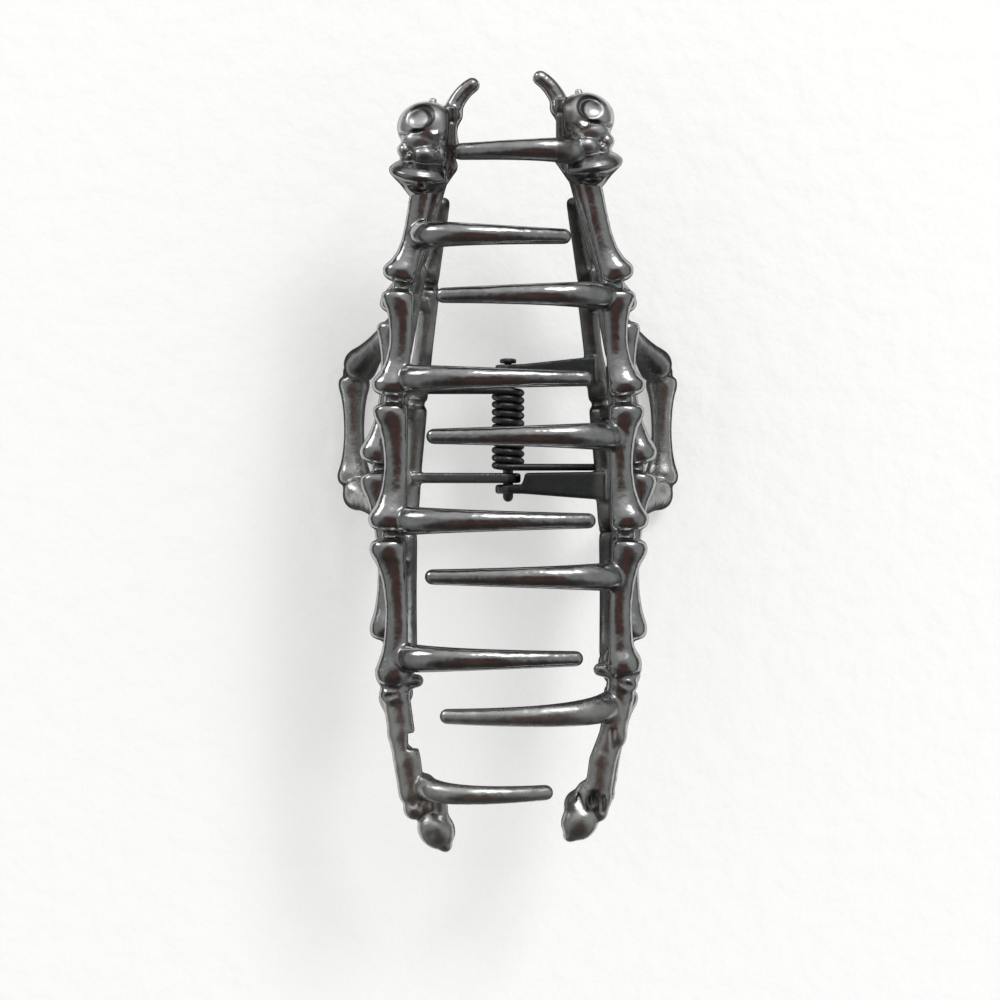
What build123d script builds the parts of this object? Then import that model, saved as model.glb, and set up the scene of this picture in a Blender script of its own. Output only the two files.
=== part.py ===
from build123d import *
from collections import namedtuple
import os

# Claw hair clip. Each of its two jaws is one casting: the bones of a hand that lie along the clip,
# with smooth teeth, two hinge lugs and a finger loop. The jaws turn on a hinge pin inside a torsion spring.
# The clip stands on its two finger loops, with its teeth up. The origin is on that surface, under the
# middle of the clip's length. +X is across the clip, +Y runs along it to the fingertips and +Z is up.

# Driving dimensions in millimetres: the hand in each jaw
hand_length = 101.0      # end of the forearm to the longest fingertip
palm_offset = 14.9       # axis of the index finger from the middle plane, at its knuckle
index_height = 39.0      # axis of the index finger above the surface that the clip stands on
little_height = 18.0     # axis of the little finger above that surface
knuckle_radius = 2.6     # a bone of the index finger at its widest, near a joint
waist_radius = 1.45      # the same bone at its narrowest
joint_gap = 0.9          # length of the neck between two bones
back_depth = 1.75        # the flat back of an index bone from its axis
web_radius = 0.85        # bars that join the fingers side by side

# The skull at the index fingertip, and the collar under it
skull_radius = 3.45
jawbone_radius = 2.75
socket_radius = 1.15
collar_radius = 3.9
collar_height = 2.6

# The teeth
tooth_rise = 8.5         # how far a tooth's line is pulled up from its root
tooth_droop = 2.5        # how far the tip lies above the index finger's axis
tooth_root_radius = 1.75
tooth_tip_radius = 0.92

# The finger loops
loop_offset = 21.6       # axis of a loop's outer bone from the middle plane
loop_length = 16.4       # between the two joints of the outer bone
loop_knuckle_radius = 2.35

# The hinge
hinge_height = 14.0
hinge_along = 4.6        # middle of the hinge, along the clip
pin_radius = 0.7
pin_clearance = 0.05
pin_head_radius = 1.1
pin_head_height = 0.7
pin_tail = 1.1           # what stands out past the last lug
lug_radius = 1.75
inner_lug_thickness = 1.4
outer_lug_thickness = 1.3
outer_lug_spread = 3.9   # thickness of an outer lug where it meets the finger
lug_depth = 4.2          # height of a lug where it meets the finger
lug_gap = 0.15           # between a lug and what turns beside it

# The torsion spring
spring_length = 11.4
wire_diameter = 0.95
spring_outer_radius = 2.25
turn_gap = 0.09          # least gap between two turns of the close coil
leg_droop = 2.0          # degrees that each leg falls, away from the coil

# A joint's place, in shares: along of half the hand's length, across of the palm's offset, and
# up from the little finger's height, 0, to the index finger's, 1. Wide is the share of the end
# radius that the bones have there.
Joint = namedtuple("Joint", "along across up wide")

INDEX = [
    Joint(-0.950, 0.630, 0.95, 0.80),
    Joint(-0.845, 0.790, 0.96, 0.80),
    Joint(-0.719, 0.900, 0.97, 0.84),
    Joint(-0.566, 0.975, 0.98, 0.95),
    Joint(-0.190, 1.010, 1.00, 1.00),
    Joint(0.155, 0.990, 1.00, 0.92),
    Joint(0.445, 0.925, 1.00, 0.98),
    Joint(0.692, 0.755, 1.00, 0.60),
]
MIDDLE = [
    Joint(-0.473, 1.020, 0.71, 0.92),
    Joint(-0.018, 1.120, 0.67, 0.98),
    Joint(0.370, 0.985, 0.67, 0.88),
    Joint(0.800, 0.545, 0.70, 0.60),
    Joint(1.000, 0.300, 0.72, 0.48),
]
RING = [
    Joint(-0.485, 0.995, 0.50, 0.86),
    Joint(-0.069, 1.040, 0.33, 0.88),
    Joint(0.267, 0.970, 0.33, 0.82),
    Joint(0.525, 0.800, 0.36, 0.68),
    Joint(0.782, 0.570, 0.42, 0.42),
]
LITTLE = [
    Joint(-0.525, 0.925, 0.31, 0.74),
    Joint(-0.184, 0.940, 0.00, 0.80),
    Joint(0.158, 0.850, 0.00, 0.76),
    Joint(0.475, 0.732, 0.02, 0.70),
    Joint(0.709, 0.600, 0.12, 0.42),
]
FINGERS = [INDEX, MIDDLE, RING, LITTLE]
ULNA = [Joint(-0.860, 0.820, 0.75, 0.62), Joint(-0.584, 1.030, 0.69, 0.78)]

# The small bones of the wrist and the rounded ends of the forearm
PEBBLES = [
    Joint(-0.960, 0.625, 0.95, 0.82),
    Joint(-0.893, 0.735, 0.92, 0.70),
    Joint(-0.862, 0.820, 0.76, 0.66),
    Joint(-0.545, 0.970, 0.86, 0.84),
    Joint(-0.555, 1.020, 0.66, 0.84),
    Joint(-0.515, 0.975, 0.50, 0.80),
    Joint(-0.530, 0.930, 0.35, 0.72),
    Joint(-0.600, 0.960, 0.80, 0.72),
]
# Where bars join the fingers side by side, as shares along the hand
WEBS_ALONG = [-0.28, 0.13, 0.42]

# A tooth: its place along, how far its root is moved along from there, both in shares of half the
# hand's length, and how far past the middle plane it reaches as a share of the palm's offset.
Tooth = namedtuple("Tooth", "along root_shift reach")
RIGHT_TEETH = [
    Tooth(0.793, -0.020, 0.45),
    Tooth(0.420, 0.000, 0.60),
    Tooth(0.061, 0.000, 0.68),
    Tooth(-0.297, 0.000, 0.70),
    Tooth(-0.652, 0.022, 0.57),
]
LEFT_TEETH = [
    Tooth(0.570, 0.007, 0.51),
    Tooth(0.208, 0.000, 0.68),
    Tooth(-0.154, 0.000, 0.73),
    Tooth(-0.505, 0.000, 0.63),
    Tooth(-0.846, 0.047, 0.37),
]

# Shapes of a bone, a tooth and the wrist, as plain shares
NECK_SHARE = 0.86        # radius of the neck between two bones, of the waist
HEAD_SHARE = 0.92        # radius of a bone's far end, of the near end of the next bone
WAIST_RELIEF = 1.15      # keeps the waist of a slim bone a little stouter than its ends
CAP_SHARE = 0.62         # how far from the joint a bone is widest, of its end radius
CAP_BULGE = 0.24         # how far the cap's arc stands out of its chord
TOOTH_SECTIONS = 6


def place(joint):
    """The point that a joint's shares name, on the right jaw."""
    return Vector(
        joint.across * palm_offset,
        joint.along * hand_length / 2,
        little_height + joint.up * (index_height - little_height),
    )


def bone(start, end, start_radius, finish_radius, is_tip=False):
    """A long bone between two joints: a neck at each joint, wide beside it, and narrow between.

    A fingertip has a rounded end in place of its second neck.
    """
    axis = end - start
    length = axis.length
    waist = waist_radius * min(1, (start_radius + finish_radius) / 2 / knuckle_radius * WAIST_RELIEF)
    neck = waist_radius * NECK_SHARE * start_radius / knuckle_radius
    end_neck = neck * 0.9
    near = Vector(start_radius, joint_gap / 2 + CAP_SHARE * start_radius)
    far = Vector(finish_radius, length - joint_gap / 2 - CAP_SHARE * finish_radius)
    middle = Vector(waist, (near.Y + far.Y) / 2)
    foot = Vector(neck, joint_gap / 2)
    head = Vector(end_neck, length - joint_gap / 2)

    def cap(inner, rim, side):
        chord = rim - inner
        bulge = Vector(abs(chord.Y), -side * abs(chord.X)).normalized() * chord.length * CAP_BULGE
        return (inner + rim) / 2 + bulge

    outline = [ThreePointArc(foot, cap(foot, near, 1), near)]
    if is_tip:
        far = Vector(finish_radius, length - finish_radius)
        middle = Vector(min(waist, finish_radius), (near.Y + far.Y) / 2)
        outline.append(ThreePointArc(near, middle, far))
        outline.append(RadiusArc(far, (0, length), -finish_radius))
        outline.append(Polyline((0, length), (0, -neck / 2), (neck, -neck / 2), foot))
    else:
        outline.append(ThreePointArc(near, middle, far))
        outline.append(ThreePointArc(far, cap(head, far, -1), head))
        outline.append(
            Polyline(head, (end_neck, length + neck), (0, length + neck), (0, -neck / 2), (neck, -neck / 2), foot)
        )
    profile = Plane.XZ * make_face(outline)
    return Plane(origin=start, z_dir=axis) * revolve(profile, Axis.Z)


def ball(centre, radius):
    return Pos(*centre) * Sphere(radius)


def bar(start, end, radius):
    axis = end - start
    middle = Plane(origin=(start + end) / 2, z_dir=axis)
    return middle * Cylinder(radius, axis.length)


def finger_solids(finger, has_tip):
    """The bones of one finger, end to end."""
    solids = []
    last = len(finger) - 2
    for i, (a, b) in enumerate(zip(finger, finger[1:])):
        is_tip = has_tip and i == last
        finish = knuckle_radius * b.wide * (1 if is_tip else HEAD_SHARE)
        solids.append(bone(place(a), place(b), knuckle_radius * a.wide, finish, is_tip))
    return solids


def back_cutter(finger):
    """What lies on the hair's side of a finger's flat back."""
    line = [(place(joint), back_depth * joint.wide) for joint in finger]
    inner = [(point.X - depth, point.Y) for point, depth in line]
    beyond = 3 * knuckle_radius
    inner.insert(0, (inner[0][0], inner[0][1] - beyond))
    inner.append((inner[-1][0], inner[-1][1] + beyond))
    outline = Polyline(*inner, (-palm_offset, inner[-1][1]), (-palm_offset, inner[0][1]), close=True)
    low = min(point.Z for point, depth in line) - 2 * knuckle_radius
    high = max(point.Z for point, depth in line) + 2 * knuckle_radius
    return Pos(0, 0, low) * extrude(make_face(outline), high - low)


def along_finger(finger, share):
    """The point of a finger's line at a share along the hand."""
    stretches = list(zip(finger, finger[1:]))
    a, b = next((pair for pair in stretches if share <= pair[1].along), stretches[-1])
    return place(a) + (place(b) - place(a)) * ((share - a.along) / (b.along - a.along))


def webs():
    """Bars from each finger to the next."""
    bars = []
    for share in WEBS_ALONG:
        points = [along_finger(finger, share) for finger in FINGERS]
        bars += [bar(a, b, web_radius) for a, b in zip(points, points[1:])]
    return bars


def skull():
    """The skull on its collar, at the index fingertip. It faces outwards and up."""
    tip = place(INDEX[-1])
    stem = waist_radius * NECK_SHARE
    lip = collar_height * 0.25
    rim = collar_height - lip
    cup = make_face(
        [
            Polyline((0, collar_height), (0, -rim / 2), (stem, -rim / 2), (stem, 0), (collar_radius, rim)),
            ThreePointArc(
                (collar_radius, rim),
                (collar_radius - lip * 0.5, collar_height),
                (collar_radius - lip * 2, collar_height),
            ),
            Line((collar_radius - lip * 2, collar_height), (0, collar_height)),
        ]
    )
    collar = Plane(origin=tip, z_dir=(-0.20, 1, 0.35)) * revolve(Plane.XZ * cup, Axis.Z)
    hair_side = Pos(tip.X - back_depth * 1.2, tip.Y, tip.Z) * Box(
        collar_radius, 3 * collar_radius, 3 * collar_radius, align=(Align.MAX, Align.CENTER, Align.CENTER)
    )
    collar -= hair_side
    outward = Vector(1, 0, 1).normalized()
    side = Vector(-1, 0, 1).normalized()
    jawbone = tip + Vector(0, collar_height + jawbone_radius * 0.55, jawbone_radius * 0.2)
    cranium = jawbone + Vector(-skull_radius * 0.12, skull_radius * 1.20, 0)
    head = ball(cranium, skull_radius).fuse(ball(jawbone + outward * 0.5, jawbone_radius))
    for turn in (-1, 1):
        eye = cranium + outward * skull_radius * 0.84 + side * (turn * skull_radius * 0.46)
        head -= ball(eye + Vector(0, skull_radius * 0.12, 0), socket_radius)
    nose = cranium + outward * skull_radius * 0.92 - Vector(0, skull_radius * 0.42, 0)
    head -= ball(nose, socket_radius * 0.45)
    return [collar, head]


def loop():
    """The finger loop: three bones from the little finger's knuckle out to the surface and back."""
    middle = Vector(loop_offset, hinge_along, loop_knuckle_radius)
    half = Vector(0, loop_length / 2, 0)
    corners = [middle - half, middle + half]
    roots = [place(LITTLE[1]), place(LITTLE[3])]
    spans = [(corners[0], corners[1]), (corners[0], roots[0]), (corners[1], roots[1])]
    bones = [bone(a, b, loop_knuckle_radius, loop_knuckle_radius * HEAD_SHARE) for a, b in spans]
    knuckles = [ball(corner, waist_radius * 1.1) for corner in corners]
    floor = Box(hand_length, hand_length, index_height, align=(Align.CENTER, Align.CENTER, Align.MAX))
    return [solid - floor for solid in bones] + knuckles


def tooth(shape, side):
    """One tapered tooth. It leaves the index finger upwards and bends over towards the other jaw."""
    along = shape.along * hand_length / 2
    root = along_finger(INDEX, shape.along + shape.root_shift) - Vector(tooth_root_radius * 0.7, 0, 0)
    pull = Vector(palm_offset * 0.62, along, index_height + tooth_rise)
    tip = Vector(-shape.reach * palm_offset, along, index_height + tooth_droop)
    line = Bezier(root, pull, tip)
    sections = []
    for i in range(TOOTH_SECTIONS):
        share = i / (TOOTH_SECTIONS - 1)
        radius = tooth_root_radius + (tooth_tip_radius - tooth_root_radius) * share
        section = Plane(origin=line @ share, x_dir=(0, 1, 0), z_dir=line % share)
        sections.append(section * Circle(radius))
    solid = loft(sections).fuse(ball(line @ 1, tooth_tip_radius))
    return solid if side > 0 else solid.mirror(Plane.YZ)


def lug(side, inner, turn):
    """A hinge lug: an eye round the pin and an arm to the little finger. turn is 1 at the fingertips' end."""
    thickness = inner_lug_thickness if inner else outer_lug_thickness
    spread = thickness if inner else outer_lug_spread
    start = spring_length / 2 + 2 * lug_gap
    if not inner:
        start += inner_lug_thickness + lug_gap
    eye_along = hinge_along + turn * (start + thickness / 2)
    root = along_finger(LITTLE, eye_along / (hand_length / 2))
    reach = root.X
    eye = Pos(0, eye_along, hinge_height) * Rot(90, 0, 0) * Cylinder(lug_radius, thickness)
    side_view = Polyline(
        (0, hinge_height + lug_radius),
        (reach, root.Z + lug_depth / 2),
        (reach, root.Z - lug_depth / 2),
        (0, hinge_height - lug_radius),
        close=True,
    )
    arm = extrude(Plane.XZ * make_face(side_view), hand_length / 2, both=True)
    outer_face = eye_along + turn * thickness / 2
    inner_face = eye_along - turn * thickness / 2
    shoulder = lug_radius * 1.15
    grown = turn * (spread - thickness)
    corners = [(0, outer_face), (reach, outer_face + grown * 0.34), (reach, inner_face - grown * 0.66)]
    if not inner:
        corners.append((shoulder, inner_face - grown * 0.60))
    corners += [(shoulder, inner_face), (0, inner_face)]
    top_view = Polyline(*corners, close=True)
    arm &= extrude(make_face(top_view), index_height)
    bore = Pos(0, eye_along, hinge_height) * Rot(90, 0, 0) * Cylinder(pin_radius + pin_clearance, 3 * spread)
    solid = eye.fuse(arm) - bore
    return solid if side > 0 else solid.mirror(Plane.YZ)


def hand():
    """Everything that both jaws share, for the right jaw."""
    solids = []
    for finger in FINGERS:
        first, *rest = finger_solids(finger, has_tip=finger is not INDEX)
        solids.append(first.fuse(*rest) - back_cutter(finger))
    solids += finger_solids(ULNA, has_tip=False)
    solids += [ball(place(pebble), pebble.wide * knuckle_radius) for pebble in PEBBLES]
    solids += webs() + skull() + loop()
    first, *rest = solids
    return first.fuse(*rest)


def jaw(shared, side, teeth, inner):
    """One whole jaw. side is 1 for the right jaw and -1 for the left one."""
    body = shared if side > 0 else shared.mirror(Plane.YZ)
    extras = [tooth(shape, side) for shape in teeth]
    extras += [lug(side, inner, turn) for turn in (-1, 1)]
    return body.fuse(*extras)


def hinge_pin():
    """The pin: a flat head at the fingertips' end and a rounded tail."""
    half = spring_length / 2 + 3 * lug_gap + inner_lug_thickness + outer_lug_thickness
    head_foot = half + lug_gap
    head_top = head_foot + pin_head_height
    tail = -half - pin_tail
    outline = [
        Polyline(
            (0, tail),
            (0, head_top),
            (pin_head_radius, head_top),
            (pin_head_radius, head_foot),
            (pin_radius, head_foot),
            (pin_radius, tail + pin_radius),
        ),
        RadiusArc((pin_radius, tail + pin_radius), (0, tail), pin_radius),
    ]
    shank = revolve(Plane.XZ * make_face(outline), Axis.Z)
    return Plane(origin=(0, hinge_along, hinge_height), z_dir=(0, 1, 0)) * shank


def torsion_spring():
    """A close coil round the pin, with a leg out to each jaw's little finger."""
    radius = spring_outer_radius - wire_diameter / 2
    coil_length = spring_length - wire_diameter
    turns = coil_length // (wire_diameter + turn_gap) + 2 * leg_droop / 360
    coil = Helix(coil_length / turns, coil_length, radius, lefthand=True)
    wire = Plane(origin=coil @ 0, z_dir=coil % 0) * Circle(wire_diameter / 2)
    body = sweep(wire, path=coil, is_frenet=True)
    reach = LITTLE[2].across * palm_offset
    legs = []
    for point, way in ((coil @ 0, -(coil % 0)), (coil @ 1, coil % 1)):
        flat = Vector(way.X, way.Y, 0).normalized()
        legs.append(bar(point, point + flat * reach, wire_diameter / 2))
        legs.append(ball(point, wire_diameter * 0.53))
    start = Vector(1, 0, 0).rotate(Axis.Y, -90 - leg_droop)
    stand = Plane(origin=(0, hinge_along + coil_length / 2, hinge_height), x_dir=start, z_dir=(0, -1, 0))
    return stand * body.fuse(*legs)


def main():
    os.makedirs("parts", exist_ok=True)
    shared = hand()
    parts = {
        "jaw_right": jaw(shared, 1, RIGHT_TEETH, inner=False),
        "jaw_left": jaw(shared, -1, LEFT_TEETH, inner=True),
        "hinge_pin": hinge_pin(),
        "torsion_spring": torsion_spring(),
    }
    for name, solid in parts.items():
        export_step(solid, f"parts/{name}.step")


if __name__ == "__main__":
    main()
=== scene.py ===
import itertools
import math

import bpy
import numpy as np
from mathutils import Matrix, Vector


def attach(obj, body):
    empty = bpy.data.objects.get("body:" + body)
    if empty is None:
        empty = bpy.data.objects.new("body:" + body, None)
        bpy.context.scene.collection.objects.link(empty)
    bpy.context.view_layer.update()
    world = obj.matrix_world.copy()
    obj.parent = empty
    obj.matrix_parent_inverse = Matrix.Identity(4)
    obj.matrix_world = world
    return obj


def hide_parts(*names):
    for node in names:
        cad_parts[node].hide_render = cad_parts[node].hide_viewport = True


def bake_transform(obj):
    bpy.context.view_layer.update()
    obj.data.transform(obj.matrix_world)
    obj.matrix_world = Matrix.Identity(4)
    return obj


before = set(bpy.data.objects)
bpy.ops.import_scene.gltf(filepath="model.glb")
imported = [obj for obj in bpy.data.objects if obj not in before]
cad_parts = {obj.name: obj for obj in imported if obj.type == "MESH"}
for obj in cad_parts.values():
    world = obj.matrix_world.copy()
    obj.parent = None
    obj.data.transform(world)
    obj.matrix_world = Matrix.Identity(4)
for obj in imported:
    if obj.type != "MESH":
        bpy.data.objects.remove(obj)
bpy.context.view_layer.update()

MM = 0.001

# The hand's sizes in millimetres, as in the solids
HALF = 50.5  # half of the clip's length
PALM = 14.9  # from the middle plane to the index finger
LOW = 18.0  # height of the little finger
HIGH = 39.0  # height of the index finger
END = 2.6  # radius of a bone's end
WAIST = 1.45  # radius of its slim middle
BACK = 1.75  # depth of its flat back, on the hair's side
STEM = 1.78  # radius of the index finger's straight last end, which carries the skull
LOOP_X = 21.6
LOOP_HALF = 8.2
LOOP_END = 2.35

# The hinge: a pin along Y through two lugs of each jaw, with the spring's coil between them
HINGE_Y = 4.6
HINGE_Z = 14.0
PIN = 0.7  # radius, as are the next two
BORE = 0.75
LUG_EYE = 1.75
LUG_ROOT = 2.1  # half of the lug's height at the little finger
INNER_LUG = 1.4  # thickness of the left jaw's lugs
OUTER_LUG = 1.3  # thickness of the right jaw's
COIL_LENGTH = 11.4
COIL_RADIUS = 2.25  # to the outside of the wire
COIL_TURNS = 10
WIRE = 0.475  # radius
COIL_PLAY = 0.3  # between the coil and the first lug
LUG_PLAY = 0.15  # between two lugs

# Cells of the grids, as fine as 200,000 triangles a piece and a million in all allow
RAIL_CELL = 0.18
HAND_CELL = 0.235
SKULL_CELL = 0.11


# ---- shapes on a grid of distances ----

FAR = 6.0  # the distance that an empty grid holds
TABLE = 240  # places in a turned form's table of radii
NECK = 2.2  # length at a bone's ends that doesn't bow
ENDS = 0.15  # softness of a turned form's end faces
SIDE = 0.25  # softness of its flat side
NEWTON = 6  # steps towards the nearest point of a curve
STEEP = 20.0  # the least slope that such a step divides by
EASE = 2  # rounds of smoothing of a mesh
CORNERS = list(itertools.product((0, 1), repeat=3))


def smin(a, b, k):
    """The smaller of two distances, with a soft join as wide as k."""
    h = np.clip(0.5 + 0.5 * (b - a) / k, 0, 1)
    return b + (a - b) * h - k * h * (1 - h)


def smax(a, b, k):
    """The larger of two distances, with a soft join as wide as k."""
    return -smin(-a, -b, k)


def spline(keys):
    """A smooth table through keys of (place, value), with no overshoot."""
    s, r = np.array(keys, float).T
    h = np.diff(s)
    slope = np.diff(r) / h
    before, after = slope[:-1], slope[1:]
    both = before + after
    m = np.zeros(len(s))
    m[1:-1] = np.where(before * after > 0, 2 * before * after / np.where(both == 0, 1, both), 0)
    m[0], m[-1] = slope[0], slope[-1]
    x = np.linspace(s[0], s[-1], TABLE)
    i = np.clip(np.searchsorted(s, x) - 1, 0, len(h) - 1)
    t = (x - s[i]) / h[i]
    y = (
        (2 * t**3 - 3 * t**2 + 1) * r[i]
        + (t**3 - 2 * t**2 + t) * h[i] * m[i]
        + (3 * t**2 - 2 * t**3) * r[i + 1]
        + (t**3 - t**2) * h[i] * m[i + 1]
    )
    return x, y


def crossed_cells(inside):
    """The cells that the surface passes through, and a grid of their numbers."""
    n = np.array(inside.shape)
    mixed = np.zeros(n - 1, bool)
    for dx, dy, dz in CORNERS:
        other = inside[dx : n[0] - 1 + dx, dy : n[1] - 1 + dy, dz : n[2] - 1 + dz]
        mixed |= other != inside[:-1, :-1, :-1]
    cells = np.argwhere(mixed)
    index = np.full(n - 1, -1, np.int64)
    index[mixed] = np.arange(len(cells))
    return cells, index


def mean_crossing(field, cells):
    """For each cell, the mean place where its edges cross the surface, from its low corner."""
    value = {c: field[cells[:, 0] + c[0], cells[:, 1] + c[1], cells[:, 2] + c[2]] for c in CORNERS}
    total = np.zeros((len(cells), 3))
    hits = np.zeros(len(cells))
    for c in CORNERS:
        for axis in range(3):
            if c[axis]:
                continue
            d = tuple(v + (1 if i == axis else 0) for i, v in enumerate(c))
            a, b = value[c], value[d]
            cross = (a < 0) != (b < 0)
            t = np.where(cross, a / np.where(cross, a - b, 1), 0)
            point = np.array(c, float)[None, :].repeat(len(cells), 0)
            point[:, axis] += t
            total[cross] += point[cross]
            hits[cross] += 1
    return total / hits[:, None]


def crossed_quads(inside, index):
    """A quad between the four cells round each edge that crosses the surface, facing outwards."""
    n = inside.shape
    quads = []
    for axis in range(3):
        u, v = [i for i in range(3) if i != axis]
        a = inside[tuple(slice(0, n[i] - 1) if i == axis else slice(1, n[i] - 1) for i in range(3))]
        b = inside[tuple(slice(1, n[i]) if i == axis else slice(1, n[i] - 1) for i in range(3))]
        where = np.argwhere(a != b)
        leaving = a[tuple(where.T)]
        where[:, [u, v]] += 1
        ring = []
        for du, dv in ((-1, -1), (0, -1), (0, 0), (-1, 0)):
            cell = where.copy()
            cell[:, u] += du
            cell[:, v] += dv
            ring.append(index[tuple(cell.T)])
        quad = np.stack(ring, 1)
        keep = leaving if axis != 1 else ~leaving
        quad[~keep] = quad[~keep][:, ::-1]
        quads.append(quad)
    return np.concatenate(quads)


def eased(points, quads):
    """The points moved half-way to the mean of their neighbours."""
    sums = np.zeros_like(points)
    near = np.zeros(len(points))
    for i, j in ((0, 1), (1, 2), (2, 3), (3, 0)):
        for p, q in ((i, j), (j, i)):
            np.add.at(sums, quads[:, p], points[quads[:, q]])
            np.add.at(near, quads[:, p], 1)
    return points * 0.5 + sums / near[:, None] * 0.5


def solid(name, points, faces):
    """A smooth-shaded object from points in millimetres and faces with the same number of corners."""
    mesh = bpy.data.meshes.new(name)
    points = np.asarray(points, float) * MM
    faces = np.asarray(faces)
    size = faces.shape[1]
    mesh.vertices.add(len(points))
    mesh.vertices.foreach_set("co", points.ravel())
    mesh.loops.add(faces.size)
    mesh.loops.foreach_set("vertex_index", faces.ravel().astype(np.int32))
    mesh.polygons.add(len(faces))
    mesh.polygons.foreach_set("loop_start", np.arange(0, faces.size, size, dtype=np.int32))
    mesh.update(calc_edges=True)
    mesh.polygons.foreach_set("use_smooth", np.ones(len(faces), bool))
    mesh.validate()
    obj = bpy.data.objects.new(name, mesh)
    bpy.context.scene.collection.objects.link(obj)
    return obj


class Clay:
    """A solid as a grid of distances to its surface, in millimetres. Shapes melt into each other."""

    def __init__(self, low, high, cell):
        self.cell = cell
        self.low = np.array(low, float)
        self.count = np.ceil((np.array(high, float) - self.low) / cell).astype(int) + 1
        self.field = np.full(self.count, FAR, np.float32)

    def work(self, low, high, distance, soft, carve=False):
        """Adds or carves the shape of distance(x, y, z), in the cells in and near a box."""
        margin = soft + 3 * self.cell
        slices, axes = [], []
        for i in range(3):
            a = max(0, int((low[i] - margin - self.low[i]) / self.cell))
            b = min(self.count[i], int((high[i] + margin - self.low[i]) / self.cell) + 2)
            if b <= a:
                return
            slices.append(slice(a, b))
            axes.append(self.low[i] + self.cell * np.arange(a, b))
        x, y, z = np.meshgrid(*axes, indexing="ij")
        d = distance(x, y, z)
        part = self.field[tuple(slices)]
        self.field[tuple(slices)] = smax(part, -d, soft) if carve else smin(part, d, soft)

    def ball(self, centre, radii, soft=0.3, carve=False, lean=None):
        """An ellipsoid. lean is three unit vectors that its radii lie along."""
        c = np.array(centre, float)
        r = np.array([radii] * 3 if np.isscalar(radii) else radii, float)
        f = np.eye(3) if lean is None else np.array(lean, float)

        def distance(x, y, z):
            p = (x - c[0], y - c[1], z - c[2])
            q = [sum(p[j] * f[i][j] for j in range(3)) / r[i] for i in range(3)]
            k0 = np.sqrt(q[0] ** 2 + q[1] ** 2 + q[2] ** 2)
            k1 = np.sqrt((q[0] / r[0]) ** 2 + (q[1] / r[1]) ** 2 + (q[2] / r[2]) ** 2)
            return k0 * (k0 - 1) / np.maximum(k1, 1e-6)

        reach = r.max()
        self.work(c - reach, c + reach, distance, soft, carve)

    def rod(self, a, b, ra, rb=None, soft=0.3, carve=False):
        """A rod with round ends, which tapers from ra to rb."""
        rb = ra if rb is None else rb
        a, b = np.array(a, float), np.array(b, float)
        d = b - a
        dd = d @ d

        def distance(x, y, z):
            px, py, pz = x - a[0], y - a[1], z - a[2]
            t = np.clip((px * d[0] + py * d[1] + pz * d[2]) / dd, 0, 1)
            gap = np.sqrt((px - t * d[0]) ** 2 + (py - t * d[1]) ** 2 + (pz - t * d[2]) ** 2)
            return gap - (ra + (rb - ra) * t)

        reach = max(ra, rb)
        self.work(np.minimum(a, b) - reach, np.maximum(a, b) + reach, distance, soft, carve)

    def turned(self, start, axis, keys, boxy=2.0, soft=0.3, flat=None, bow=0.0, lift=0.0):
        """A turned form on an axis, from keys of (place along, radius).

        boxy is 2 for a round section and more for a squarer one. flat cuts the -X side at that
        depth. bow is how far the slim part lies back towards -X, and lift is how far the thick
        parts stand out the other way.
        """
        start = np.array(start, float)
        w = np.array(axis, float)
        w /= np.linalg.norm(w)
        n = np.array([1.0, 0.0, 0.0])
        n -= w * (n @ w)
        n /= np.linalg.norm(n)
        b = np.cross(w, n)
        place, radius = spline(keys)
        first, last = place[0], place[-1]
        slant = 1 / np.sqrt(1 + np.gradient(radius, place) ** 2)
        fifth = len(radius) // 5
        thick, thin = radius.max(), radius[fifth:-fifth].min()
        open_end = radius[-1] > 1.5 * radius[0]
        between = (place > first + NECK) & (open_end | (place < last - NECK))
        slim = np.clip((thick - radius) / max(thick - thin, 0.1), 0, 1)
        necked = np.clip((thick - radius) / max(thick - radius[0], 0.1), 0, 1)
        back = np.where(between, bow * slim - lift * (1 - slim), -lift * (1 - necked))

        def distance(x, y, z):
            px, py, pz = x - start[0], y - start[1], z - start[2]
            s = px * w[0] + py * w[1] + pz * w[2]
            u = px * n[0] + py * n[1] + pz * n[2] + np.interp(s, place, back)
            v = px * b[0] + py * b[1] + pz * b[2]
            if boxy == 2:
                rho = np.sqrt(u * u + v * v)
            else:
                rho = (np.abs(u) ** boxy + np.abs(v) ** boxy) ** (1 / boxy)
            d = (rho - np.interp(s, place, radius)) * np.interp(s, place, slant)
            d = smax(d, first - s, ENDS)
            d = smax(d, s - last, ENDS)
            if flat is not None:
                edge = start[0] + w[0] / w[1] * (y - start[1]) - flat
                d = smax(d, edge - x, SIDE)
            return d

        reach = thick * 1.15
        ends = np.array([start + w * first, start + w * last])
        self.work(ends.min(0) - reach, ends.max(0) + reach, distance, soft)

    def bend(self, a, b, c, ra, rc, soft=0.3):
        """A rod with round ends along the curve from a to c that b pulls, which tapers from ra to rc."""
        a, b, c = (np.array(p, float) for p in (a, b, c))
        k1 = 2 * (b - a)
        k2 = a - 2 * b + c
        chord = c - a

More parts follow.
